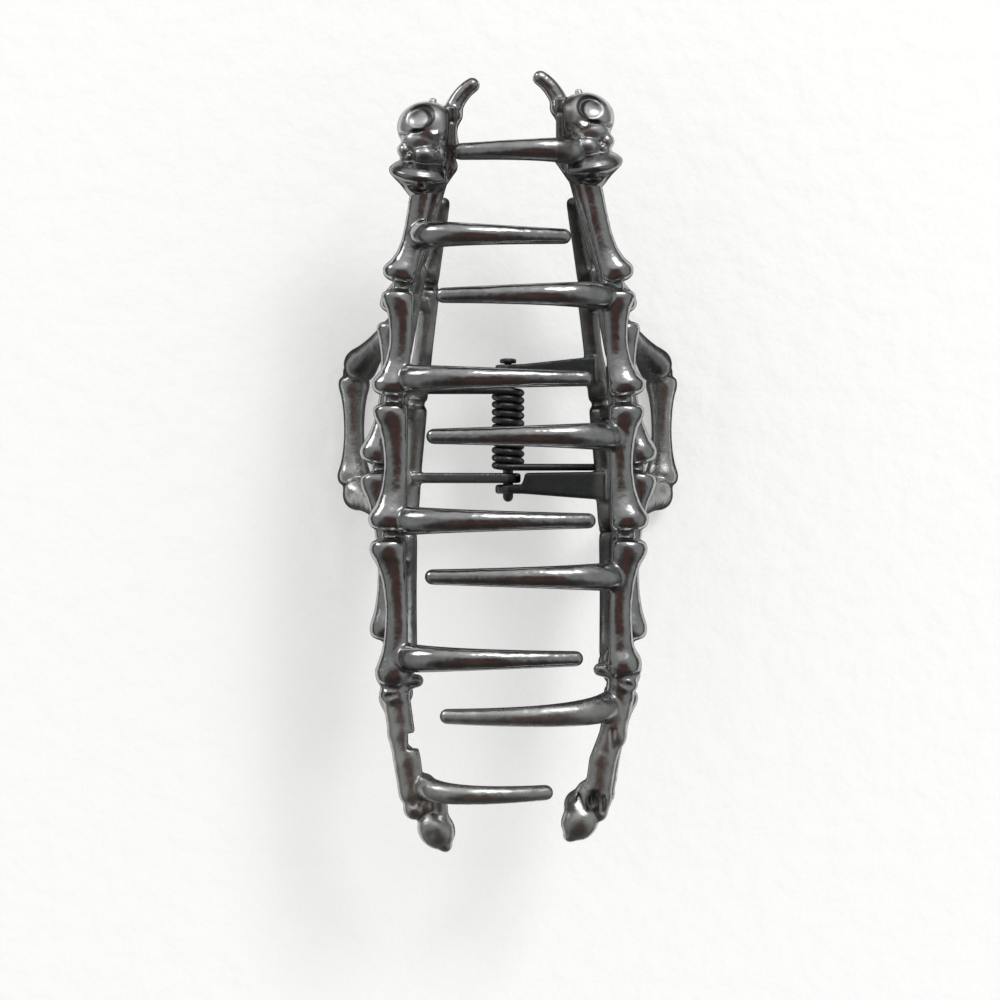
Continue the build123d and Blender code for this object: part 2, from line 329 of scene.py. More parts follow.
        def distance(x, y, z):
            p = [x - a[0], y - a[1], z - a[2]]
            t = sum(p[i] * chord[i] for i in range(3)) / (chord @ chord)
            t = np.clip(t, 0, 1)
            for _ in range(NEWTON):
                e = [k1[i] * t + k2[i] * t * t - p[i] for i in range(3)]
                g = [k1[i] + 2 * k2[i] * t for i in range(3)]
                f = sum(e[i] * g[i] for i in range(3))
                df = sum(g[i] * g[i] + 2 * e[i] * k2[i] for i in range(3))
                t = np.clip(t - f / np.maximum(df, STEEP), 0, 1)
            e = [k1[i] * t + k2[i] * t * t - p[i] for i in range(3)]
            gap = np.sqrt(e[0] ** 2 + e[1] ** 2 + e[2] ** 2)
            return gap - (ra + (rc - ra) * t)

        ends = np.array([a, b, c])
        reach = max(ra, rc)
        self.work(ends.min(0) - reach, ends.max(0) + reach, distance, soft)

    def slab(self, centre, half, edge, soft=0.2, carve=False):
        """A box with rounded edges, from its half sizes and the radius of its edges."""
        c, h = np.array(centre, float), np.array(half, float)

        def distance(x, y, z):
            q = [np.abs(v - c[i]) - (h[i] - edge) for i, v in enumerate((x, y, z))]
            outside = np.sqrt(sum(np.maximum(v, 0) ** 2 for v in q))
            return outside + np.minimum(np.maximum(q[0], np.maximum(q[1], q[2])), 0) - edge

        self.work(c - h, c + h, distance, soft, carve)

    def mesh(self, name, flip=False):
        """The surface as a mesh of quads with a point in each cell that it passes through."""
        for axis in range(3):
            ends = np.moveaxis(self.field, axis, 0)
            ends[[0, -1]] = np.maximum(ends[[0, -1]], self.cell)
        inside = self.field < 0
        cells, index = crossed_cells(inside)
        points = self.low + (cells + mean_crossing(self.field, cells)) * self.cell
        quads = crossed_quads(inside, index)
        for _ in range(EASE):
            points = eased(points, quads)
        if flip:
            points = points * [-1, 1, 1]
            quads = quads[:, ::-1]
        return solid(name, points, quads)


# ---- the hand, for the right jaw ----

# How far the right jaw's fingertip end sits further in and along than the left one's
NUDGE = {"left": np.array([0.0, 0.0, 0.0]), "right": np.array([-0.70, 1.15, 0.0])}

# Joints as (along, across, up, wide), in the same shares as the solids
INDEX = [
    (-0.845, 0.790, 0.96, 0.80),
    (-0.719, 0.900, 0.97, 0.84),
    (-0.566, 0.975, 0.98, 0.88),
    (-0.190, 1.010, 1.00, 1.05),
    (0.155, 0.990, 1.00, 1.02),
    (0.445, 0.925, 1.00, 0.94),
    (0.692, 0.755, 1.00, 0.73),
]
WRIST = INDEX[2]
INDEX_BONES = INDEX[2:]
INDEX_SHAFTS = (1.66, 1.68, 1.66, 1.72)
MIDDLE = [
    (-0.473, 1.020, 0.71, 0.92),
    (-0.018, 1.120, 0.67, 0.98),
    (0.370, 0.985, 0.67, 0.88),
    (0.800, 0.545, 0.70, 0.60),
]
RING = [
    (-0.485, 0.995, 0.50, 0.86),
    (-0.069, 1.040, 0.33, 0.88),
    (0.267, 0.970, 0.33, 0.82),
    (0.525, 0.800, 0.36, 0.68),
    (0.782, 0.570, 0.42, 0.42),
]
LITTLE = [
    (-0.525, 0.915, 0.31, 0.78),
    (-0.184, 0.925, 0.00, 0.84),
    (0.158, 0.832, 0.00, 0.82),
    (0.475, 0.712, 0.02, 0.76),
    (0.709, 0.590, 0.12, 0.48),
]
LITTLE_SHAFTS = (1.35, 1.35, 1.32, 1.20)
ULNA = [(-0.584, 1.030, 0.69, 0.78), (-0.860, 0.820, 0.75, 0.62)]
WRIST_BONES = [
    (-0.545, 0.970, 0.86, 0.84),
    (-0.555, 1.020, 0.66, 0.84),
    (-0.515, 0.975, 0.50, 0.80),
    (-0.530, 0.930, 0.35, 0.72),
    (-0.600, 0.960, 0.80, 0.72),
    (-0.862, 0.820, 0.76, 0.66),
]
# Where bars join the fingers, as shares along
BARS = (-0.28, 0.13, 0.42)

# Teeth as shares: along, the root's shift along, and the reach past the middle plane
RIGHT_TEETH = [
    (0.786, -0.015, 0.410),
    (0.420, 0.000, 0.565),
    (0.061, 0.000, 0.645),
    (-0.297, 0.000, 0.657),
    (-0.652, 0.022, 0.527),
]
LEFT_TEETH = [
    (0.570, 0.007, 0.475),
    (0.208, 0.000, 0.663),
    (-0.154, 0.000, 0.687),
    (-0.505, 0.000, 0.578),
    (-0.846, 0.022, 0.318),
]
TOOTH_ROOT = 1.95  # radius
TOOTH_TIP = 1.0
TOOTH_ARCH = 8.5  # how far above the index finger the curve is pulled
TOOTH_RISE = 2.5  # how far above it the tip is

BOXY = 2.3  # a bone's section, a little squarer than round
FLARE = 2.1  # how steeply it widens towards its ends


def at(along, across, up, wide=None):
    """A joint's point in millimetres. wide is taken so that a whole row can be passed, and not used."""
    return np.array([across * PALM, along * HALF, LOW + up * (HIGH - LOW)])


def on(joints, share):
    """The point of a finger's line at a share along."""
    pairs = list(zip(joints, joints[1:]))
    a, b = next((p for p in pairs if share <= p[1][0]), pairs[-1])
    t = (share - a[0]) / (b[0] - a[0])
    return at(*a) * (1 - t) + at(*b) * t


def bone(
    clay, p, q, rp, rq, flat=None, tip=False, plain=False,
    gap=0.42, soft=0.25, shaft=None, bow=0.0, lift=0.0,
):
    """A finger bone from joint p to joint q: flared at both ends, slim between.

    tip rounds its last end off, plain leaves out its last flare, gap is the neck's length at each
    joint and shaft the radius of the slim part.
    """
    axis = q - p
    length = np.linalg.norm(axis)
    waist = min(WAIST, 0.62 * (rp + rq) / 2) if shaft is None else shaft
    neck = 0.52 * min(rp, rq)
    near = gap + 0.60 * rp
    far = length - rq if tip else length - gap - 0.55 * rq
    middle = (near + far) / 2
    keys = [(-0.5, neck), (gap * 0.7, neck)]
    keys += [(gap + 0.06 * rp, 0.70 * rp), (gap + 0.28 * rp, 0.94 * rp), (near, rp)]
    for share in (0.3, 0.6):
        keys.append((near + (middle - near) * share, waist + (rp - waist) * (1 - share) ** FLARE))
    keys.append((middle, waist))
    for share in (0.4, 0.7):
        keys.append((middle + (far - middle) * share, waist + (rq - waist) * share**FLARE))
    keys.append((far, rq))
    if plain:
        keys += [(length + 0.6, rq)]
    elif tip:
        keys += [(length - 0.35 * rq, 0.80 * rq), (length - 0.08 * rq, 0.42 * rq), (length, 0.02)]
    else:
        keys += [(length - gap - 0.25 * rq, 0.95 * rq), (length - gap - 0.05 * rq, 0.72 * rq)]
        keys += [(length - gap * 0.7, neck), (length + 0.5, neck)]
    clay.turned(p, axis, keys, boxy=BOXY, soft=soft, flat=flat, bow=bow, lift=lift)


def finger(clay, joints, has_tip=False, shafts=None, bow=0.25, lift=0.2, nudge=0.0):
    """All bones of a finger. nudge moves its last joint."""
    last = len(joints) - 2
    for i, (a, b) in enumerate(zip(joints, joints[1:])):
        tip = has_tip and i == last
        plain = joints is INDEX_BONES and i == last
        rq = STEM if plain else END * b[3] * (1 if tip else 0.94)
        flat = BACK * (a[3] + b[3]) / 2
        end = at(*b) + (nudge if i == last else 0.0)
        shaft = shafts[i] if shafts else None
        bone(clay, at(*a), end, END * a[3], rq, flat, tip, plain, shaft=shaft, bow=bow, lift=lift)


def forearm(clay, left):
    """The stout forearm, flat on the hair's side."""
    s = 0.45 if left else -0.45
    arm = np.array([
        (14.35, -30.4, 38.1),
        (13.5 + s * 0.4, -35.3, 38.0),
        (12.5 + s, -38.6, 38.0),
        (11.9 + s, -43.0, 37.9),
    ])
    for a, b in zip(arm, arm[1:]):
        clay.rod(a, b, 2.0, 1.92, 0.35)

    def inner_side(x, y, z):
        return x - (np.interp(-y, -arm[:, 1], arm[:, 0]) - 1.55)

    clay.work((5, -44.0, 34), (19, -30.8, 42), inner_side, 0.25, carve=True)


def tooth(clay, side, along, shift, reach):
    """A tapered tooth that arches from the index finger over the space for the hair."""
    root = on(INDEX, along + shift) - [1.1, 0, 0]
    pull = np.array([PALM * 0.60, along * HALF, HIGH + TOOTH_ARCH])
    tip = np.array([-reach * PALM, along * HALF, HIGH + TOOTH_RISE])
    root_radius, tip_radius = TOOTH_ROOT, TOOTH_TIP
    if along > 0.7:  # the one beside the right skull, with a blunter tip
        root = root + NUDGE[side] * [0.8, 0.6, 0]
        tip_radius = 1.10
    elif along < -0.8:  # the one on the left forearm's end, slimmer and a little further out
        root, pull = root - [0, 0.45, 0], pull - [0, 0.45, 0]
        root_radius = 1.60
    clay.bend(root, pull, tip, root_radius, tip_radius, soft=0.3)


def wrist(clay, left):
    """A round end, a knob on the hair's side and two folds."""
    middle = at(*WRIST) + [0, 0.0 if left else 1.45, 0]
    clay.ball(middle + [0.35, 0.9, 0], (2.35, 2.2, 2.4), 0.5)
    clay.rod(middle + [0.2, -0.2, 0], middle + [-2.7, 0.1, 0.2], 1.45, 0.85, 0.5)
    clay.ball(middle + [0.2, -1.7, -0.2], (2.05, 1.7, 2.1), 0.4)
    for drop in (-0.45, -2.20):
        clay.rod(middle + [2.3, drop, 1.25], middle + [-1.2, -1.35, 2.45], 0.40, 0.36, 0.35, carve=True)


def bite(clay):
    """The notch where the left forearm's bones meet."""
    clay.slab((11.2, -36.3, 36.0), (1.95, 1.05, 6.0), 0.35, 0.2, carve=True)


# The forearms' knobbed ends lean outwards
KNOB_LEAN = [(0.835, -0.55, 0), (0.55, 0.835, 0), (0, 0, 1)]


def left_end(clay):
    """The left forearm's bite and its end: a knob beside a neck, with two pits."""
    bite(clay)
    clay.ball((12.1, -45.1, 38.0), (1.55, 1.5, 1.7), 0.4)
    clay.rod((9.1, -43.4, 38.3), (8.85, -46.4, 38.0), 1.15, 1.1, 0.3)
    clay.ball((10.7, -44.6, 37.8), (1.3, 1.5, 1.6), 0.4)
    clay.ball((9.35, -47.8, 37.9), (2.35, 2.7, 2.2), 0.35, lean=KNOB_LEAN)
    clay.ball((8.2, -50.0, 37.7), (0.9, 0.8, 1.2), 0.4)
    clay.ball((10.1, -46.2, 37.3), (1.7, 1.6, 1.7), 0.4)
    clay.ball((10.9, -49.0, 42.6), 3.0, 0.3, carve=True)
    clay.ball((12.4, -44.55, 39.8), 0.40, 0.15, carve=True)
    clay.ball((12.3, -45.65, 39.8), 0.34, 0.15, carve=True)


def right_end(clay):
    """The right forearm's slot and side lump, and its end: a knob below a facet between two hollows."""
    clay.rod((13.4, -34.9, 40.1), (13.5, -37.2, 40.1), 0.42, 0.42, 0.2, carve=True)
    clay.ball((14.25, -35.6, 38.6), (1.0, 1.5, 1.3), 0.3)
    clay.ball((12.0, -43.9, 38.0), (1.4, 1.6, 1.6), 0.4)
    clay.ball((10.4, -43.6, 37.9), (1.9, 2.3, 2.0), 0.4)
    clay.ball((9.1, -44.6, 37.7), (1.9, 2.0, 1.9), 0.35)
    clay.ball((9.25, -46.7, 37.9), (2.35, 2.65, 2.1), 0.4, lean=KNOB_LEAN)
    clay.ball((11.8, -45.2, 37.9), (1.15, 1.6, 1.5), 0.35)
    clay.ball((8.0, -48.7, 37.7), (0.9, 0.8, 1.2), 0.4)
    clay.ball((10.95, -44.0, 40.6), (0.85, 1.6, 1.5), 0.15, carve=True)
    clay.rod((12.15, -43.6, 39.6), (12.2, -45.4, 39.3), 0.34, 0.34, 0.15, carve=True)
    clay.ball((7.9, -43.9, 41.2), 2.0, 0.25, carve=True)

    def facet(x, y, z):
        above = (9.15 - x) * 0.122 + (-45.5 - y) * 0.497 + (39.75 - z) * 0.859
        aside = np.abs(x - 9.1) - 0.15 + 0.38 * (y + 43.1)
        return np.maximum(np.maximum(above, aside), np.abs(y + 44.3) - 1.35)

    clay.work((7.9, -45.7, 38), (10.3, -42.9, 41), facet, 0.12, carve=True)


def rail(side, teeth):
    """The index finger with its forearm and teeth."""
    left = side == "left"
    clay = Clay((-13.5, -52, 33), (20, 43.5, 47.5), RAIL_CELL)
    finger(clay, INDEX_BONES, shafts=INDEX_SHAFTS, bow=0.5, lift=0.42, nudge=NUDGE[side])
    forearm(clay, left)
    for row in teeth:
        tooth(clay, side, *row)
    wrist(clay, left)
    if left:
        left_end(clay)
    else:
        right_end(clay)
    return clay.mesh(f"rail_{side}", flip=left)


def lug(clay, inner, turn):
    """A hinge lug: an eye round the pin and an arm out to the little finger. turn is its way along Y."""
    thick = INNER_LUG if inner else OUTER_LUG
    start = COIL_LENGTH / 2 + COIL_PLAY + (0 if inner else INNER_LUG + LUG_PLAY)
    y = HINGE_Y + turn * (start + thick / 2)
    root = on(LITTLE, y / HALF)
    spread = thick if inner else 3.9

    def distance(px, py, pz):
        from_pin = np.sqrt(px**2 + (pz - HINGE_Z) ** 2)
        t = np.clip(px / root[0], 0, 1)
        middle = HINGE_Z + (root[2] - HINGE_Z) * t
        high = LUG_EYE + (LUG_ROOT - LUG_EYE) * t
        arm = smax(np.abs(pz - middle) - high, np.maximum(-px, px - root[0]), 0.1)
        form = smin(from_pin - LUG_EYE, arm, 0.25)
        reach = np.clip((px - 2.0) / (root[0] - 2.0), 0, 1)
        wide = np.clip((px - 1.95) / 0.4, 0, 1) * (spread - thick)
        low = y - turn * thick / 2 - turn * wide * (0.60 + 0.06 * reach)
        top = y + turn * thick / 2 + turn * reach * (spread - thick) * 0.34
        mid, half = (low + top) / 2, np.abs(top - low) / 2
        d = smax(form, np.abs(py - mid) - half, 0.3)
        return smax(d, BORE - from_pin, 0.08)

    clay.work((-1.8, y - spread, 12.2), (root[0], y + spread, 20.2), distance, 0.2)


def hand(side, inner):
    """The other three fingers, the wrist, the finger loop and the lugs, inner or outer ones."""
    clay = Clay((-2.4, -49, -0.4), (24.4, 52.5, 38.5), HAND_CELL)
    finger(clay, MIDDLE, bow=0.2, lift=0.5)
    finger(clay, RING, True)
    finger(clay, LITTLE, True, LITTLE_SHAFTS, bow=0.15, lift=0.1)
    # The middle finger's bent last bone
    nudge = NUDGE[side] * 0.8
    root, pull, tip = (np.array(p) for p in ((8.12, 40.0, 32.7), (8.3, 47.0, 33.0), (4.75, 49.3, 33.1)))
    clay.bend(root, pull + nudge, tip + nudge, 1.38, 1.02, soft=0.3)
    clay.ball((8.12, 41.6, 32.7), (1.62, 1.5, 1.6), 0.5)
    clay.ball(np.array([7.6, 45.3, 33.3]) + nudge, (1.62, 1.3, 1.6), 0.6)
    # The second forearm bone and the small bones of the wrist
    bone(clay, at(*ULNA[0]), at(*ULNA[1]), END * ULNA[0][3], END * 0.60, gap=0.3, soft=0.4, bow=-0.2)
    if side == "left":
        bite(clay)
    for joint in WRIST_BONES:
        r = joint[3] * END
        clay.ball(at(*joint), (r, r * 0.92, r * 0.96), 0.35)
    for share in BARS:
        points = [on(j, share) for j in (INDEX, MIDDLE, RING, LITTLE)]
        for a, b in zip(points, points[1:]):
            clay.rod(a, b, 0.85, soft=0.5)
    # The loop
    corner = [np.array([LOOP_X, HINGE_Y + s * LOOP_HALF, LOOP_END]) for s in (-1, 1)]
    bone(clay, corner[0], corner[1], LOOP_END, LOOP_END * 0.94, soft=0.2)
    for c, joint in zip(corner, (LITTLE[1], LITTLE[3])):
        bone(clay, c, at(*joint), LOOP_END, LOOP_END * 0.9, soft=0.2)
    for c in corner:
        clay.ball(c, WAIST * 1.1, 0.2)
    for turn in (-1, 1):
        lug(clay, inner, turn)
    # Nothing below the surface that the clip stands on
    clay.work((-3, -60, -3), (30, 60, 0.0), lambda x, y, z: z, 0.05, carve=True)
    return clay.mesh(f"hand_{side}", flip=side == "left")


# ---- the skulls, for the right jaw ----

# The skull's forms as (outwards, up, towards the viewer, three radii, softness), from its middle
HEAD = [
    (0.00, 0.00, 0.00, 3.85, 3.35, 3.70, 0.15),
    (0.77, -1.85, 0.80, 2.60, 1.55, 2.55, 0.18),
    (2.85, -3.05, 0.90, 1.00, 1.00, 1.50, 0.20),
    (0.25, -3.75, 1.15, 2.00, 1.45, 2.45, 0.22),
    (1.30, -4.10, 0.30, 2.20, 1.05, 2.20, 0.30),
    (-1.10, -3.80, 0.20, 1.90, 1.60, 2.10, 0.30),
    (-1.42, -0.75, 2.35, 0.95, 0.65, 0.90, 0.25),
    (-0.77, 3.42, 0.20, 0.50, 0.38, 0.45, 0.15),
]
# What is pressed into it, in the same columns
DENTS = [
    (1.42, -0.85, 3.25, 0.85, 0.20, 0.85, 0.08),
    (3.35, -1.15, 1.90, 0.75, 0.22, 0.90, 0.12),
    (2.25, -3.95, 2.75, 0.85, 0.80, 0.80, 0.12),
    (-1.70, -2.30, 3.20, 0.55, 0.80, 0.60, 0.20),
]
# Fine grooves as (outwards, up, towards the viewer) at both ends
GROOVES = [
    ((3.50, -0.95, 1.10), (1.70, -1.05, 3.35)),
    ((1.30, -2.62, 3.20), (-0.20, -2.80, 3.45)),
    ((-0.20, -2.80, 3.45), (-1.40, -3.70, 2.90)),
    ((3.00, -2.20, 2.20), (1.90, -2.60, 3.10)),
]
# The seam's beaded line, and the slabs of the plate beside it as (middle, half sizes)
SEAM = [
    (-2.50, 1.20, 2.05),
    (-2.10, -0.40, 2.55),
    (-1.85, -1.70, 2.70),
    (-1.50, -3.30, 2.55),
    (-1.25, -4.40, 2.20),
]
PLATE = [
    ((-3.05, 1.75, -0.2), (0.80, 1.00, 1.5)),
    ((-2.95, -1.10, -0.5), (0.72, 1.75, 1.6)),
    ((-2.75, -4.10, -1.2), (0.85, 1.60, 1.5)),
]
# The way that the skull's surface faces in the socket
LOOK = np.array([0.196, 0.308, 0.931])
# Each cheekbone's middle, and the way that its flat top faces
CHEEKBONES = {
    "left": ((-1.05, -0.88, 3.55), (-0.156, 0.400, 0.903)),
    "right": ((-0.10, -1.00, 3.68), (0.126, 0.401, 0.907)),
}
# The collar as (place along its axis, radius): a funnel with a thick rolled rim
COLLAR = [
    (-1.3, 0.80), (-0.9, 1.25), (-0.4, 1.75), (0.1, 2.20), (0.6, 2.70),
    (1.1, 3.28), (1.5, 3.75), (1.85, 4.08), (2.2, 4.22), (2.5, 4.18),
    (2.8, 3.92), (3.1, 3.62), (3.4, 3.1), (3.8, 2.3), (4.2, 1.2),
]


def skull(side):
    """The skull on its flared collar. It looks outwards and up, with a flat plate on the hair's side."""
    tip = at(*INDEX[-1]) + NUDGE[side]
    low = tip + [-5.6, -2.5, -5.0]
    clay = Clay(low, tip + [5.8, 13.5, 6.0], SKULL_CELL)
    foot = tip + [0.25, 0.05, 0]
    clay.turned(foot, (-0.12, 1.0, 0.29), COLLAR, soft=0.12)
    clay.ball(foot + [0.1, 0.0, 2.45], (1.25, 0.75, 0.75), 0.2, carve=True)
    middle = tip + [-0.73, 8.08, 0.5]
    for a, b, c, *radii, soft in HEAD:
        clay.ball(middle + [a, b, c], radii, soft)
    # One socket: a shallow dish that follows the skull's surface, deeper on the outer side
    aside = np.cross([0, 1, 0], LOOK)
    aside /= np.linalg.norm(aside)
    dish = [aside, np.cross(LOOK, aside), LOOK]
    clay.ball(middle + [0.80, 0.95, 3.50], (1.50, 1.50, 0.62), 0.12, carve=True, lean=dish)
    clay.ball(middle + [1.75, 1.05, 4.10], (1.60, 1.40, 1.35), 0.35, carve=True)
    for a, b, c, *radii, soft in DENTS:
        clay.ball(middle + [a, b, c], radii, soft, carve=True)
    clay.ball(middle + [2.25, -3.95, 1.95], (0.50, 0.48, 0.6), 0.08)
    for a, b in GROOVES:
        clay.rod(middle + a, middle + b, 0.17, 0.13, 0.12, carve=True)

    def beyond_plate(x, y, z):
        return x - (middle[0] - 2.75) + 0.05 * (y - middle[1])

    clay.work(low, middle + [-2.0, 5.5, 5.5], beyond_plate, 0.25, carve=True)
    place, up = CHEEKBONES[side]
    cheek = middle + place

    def cheekbone(x, y, z):
        px, py, pz = x - cheek[0], y - cheek[1], z - cheek[2]
        top = px * up[0] + py * up[1] + pz * up[2]
        return smax(np.maximum(top, -1.2 - pz), np.sqrt(px**2 + (1.15 * py) ** 2) - 0.60, 0.08)

    clay.work(cheek - [0.7, 0.7, 1.3], cheek + [0.7, 0.7, 0.5], cheekbone, 0.12)
    for centre, half in PLATE:
        clay.slab(middle + centre, half, 0.45, 0.35)
    clay.rod(middle + [-2.7, -4.9, -1.2], foot + [-2.2, 0.6, -0.3], 1.25, 1.05, 0.4)
    for a, b in zip(SEAM, SEAM[1:]):
        a, b = middle + np.array(a), middle + np.array(b)
        clay.rod(a, b, 0.16, 0.16, 0.12)
        count = int(np.linalg.norm(b - a) / 0.5)
        for k in range(count):
            clay.ball(a + (b - a) * k / count, 0.22, 0.08)
    return clay.mesh(f"skull_{side}", flip=side == "left")


# ---- pin and spring ----

PIN_SIDES = 40
TAIL = 1.1  # the pin's length past the last lug at the wrist's end
WIRE_SIDES = 16
WIRE_STEPS = 44  # steps in a turn of the coil
LEG_STEPS = 14
LEG = 0.850 * PALM
DROOP = 2.0  # degrees by which the spring's legs fall


def tube(rows, sides, flip=False):
    """The quads between rows of points, with as many points in each row as the tube has sides."""
    faces = []
    for i in range(rows - 1):
        for j in range(sides):
            k = (j + 1) % sides
            a, b, c, d = i * sides + j, (i + 1) * sides + j, (i + 1) * sides + k, i * sides + k
            faces.append((a, d, c, b) if flip else (a, b, c, d))
    return np.array(faces)


def pin():
    """The turned pin: a round tail, the shank, and a flat head above a groove."""
    half = COIL_LENGTH / 2 + COIL_PLAY + INNER_LUG + LUG_PLAY + OUTER_LUG
    tail, foot = -half - TAIL, half + 0.15
    keys = []
    for a in np.linspace(0.02, math.pi / 2, 8):
        keys.append((tail + PIN * (1 - math.cos(a)), PIN * math.sin(a)))
    keys += [(-half, PIN), (half - 0.6, PIN), (half - 0.05, PIN), (half + 0.02, 0.5)]
    keys += [(foot - 0.05, 0.48), (foot, 0.62), (foot + 0.03, 1.0), (foot + 0.12, 1.12)]
    keys += [(foot + 0.45, 1.12), (foot + 0.6, 1.0), (foot + 0.68, 0.6), (foot + 0.7, 0.02)]
    angle = np.linspace(0, 2 * math.pi, PIN_SIDES, endpoint=False)
    rings = []
    for along, r in keys:
        ring = np.stack([np.cos(angle) * r, np.full(PIN_SIDES, along), np.sin(angle) * r], 1)
        rings.append(ring + [0, HINGE_Y, HINGE_Z])
    return solid("hinge_pin_turned", np.concatenate(rings), tube(len(keys), PIN_SIDES))


def spring():
    """The coil and its legs as one wire with rounded ends."""
    droop = math.radians(DROOP)
    r = COIL_RADIUS - WIRE
    length = COIL_LENGTH - 2 * WIRE
    turns = COIL_TURNS + 2 * DROOP / 360
    steps = int(turns * WIRE_STEPS)
    first = math.pi / 2 + droop
    coil = []
    for i in range(steps + 1):
        t = i / steps
        a = first - 2 * math.pi * turns * t
        coil.append((r * math.cos(a), HINGE_Y + length / 2 - length * t, HINGE_Z + r * math.sin(a)))
    start, end = np.array(coil[0]), np.array(coil[-1])
    to_left = np.array([-math.cos(droop), 0, -math.sin(droop)]) * LEG
    to_right = np.array([math.cos(droop), 0, -math.sin(droop)]) * LEG
    left = [start + to_left * k for k in np.linspace(1, 0.03, LEG_STEPS)]
    right = [end + to_right * k for k in np.linspace(0.03, 1, LEG_STEPS)]
    path = np.array(left + coil + right)
    tangent = np.gradient(path, axis=0)
    tangent /= np.linalg.norm(tangent, axis=1)[:, None]
    side = np.cross(tangent, [0, 1, 0])
    side /= np.linalg.norm(side, axis=1)[:, None]
    other = np.cross(tangent, side)
    angle = np.linspace(0, 2 * math.pi, WIRE_SIDES, endpoint=False)[None, :, None]
    rings = path[:, None, :] + WIRE * (np.cos(angle) * side[:, None, :] + np.sin(angle) * other[:, None, :])
    caps = []
    for k, way in ((0, -1), (-1, 1)):
        cap = []
        for a in (0.35, 0.7, 1.0, 1.25, 1.45, 1.55):
            shift = tangent[k] * way * WIRE * 0.6 * math.sin(a)
            cap.append(path[k] + shift + (rings[k] - path[k]) * math.cos(a))
        caps.append(cap)
    rows = np.array(caps[0][::-1] + list(rings) + caps[1])
    return solid("torsion_spring_wound", rows.reshape(-1, 3), tube(len(rows), WIRE_SIDES, flip=True))


# ---- materials ----

class Graph:
    """A node tree with short ways to add to it. An input is a value, or another node's output."""

    def __init__(self, tree):
        self.nodes, self.links = tree.nodes, tree.links

    def fill(self, node, inputs):
        for socket, value in inputs.items():
            if isinstance(value, bpy.types.NodeSocket):
                self.links.new(value, node.inputs[socket])
            else:
                node.inputs[socket].default_value = value

    def add(self, kind, inputs=None, **settings):
        node = self.nodes.new(f"ShaderNode{kind}")
        for key, value in settings.items():
            setattr(node, key, value)
        self.fill(node, inputs or {})
        return node

    def math(self, operation, *values):
        return self.add("Math", dict(enumerate(values)), operation=operation).outputs[0]

    def mix(self, below, above, factor, blend="MIX"):
        inputs = {"A": below, "B": above, "Factor": factor}
        return self.add("Mix", inputs, data_type="RGBA", blend_type=blend).outputs["Result"]

    def share(self, value, none, full, at_none=0.0, at_full=1.0, **settings):
        """at_none where the value is none, at_full where it is full, and between them in between."""
        inputs = {"Value": value, "From Min": none, "From Max": full, "To Min": at_none, "To Max": at_full}
        return self.add("MapRange", inputs, **settings).outputs["Result"]

    def noise(self, place, scale, detail, roughness):
        inputs = {"Vector": place, "Scale": scale, "Detail": detail, "Roughness": roughness}
        return self.add("TexNoise", inputs).outputs["Fac"]

    def ramp(self, value, *stops):
        """A colour between two stops of (value, colour)."""
        node = self.add("ValToRGB", {"Fac": value})
        for element, (position, colour) in zip(node.color_ramp.elements, stops):
            element.position = position
            element.color = colour
        return node.outputs["Color"]


def grey(v):
    return (v, v, v)


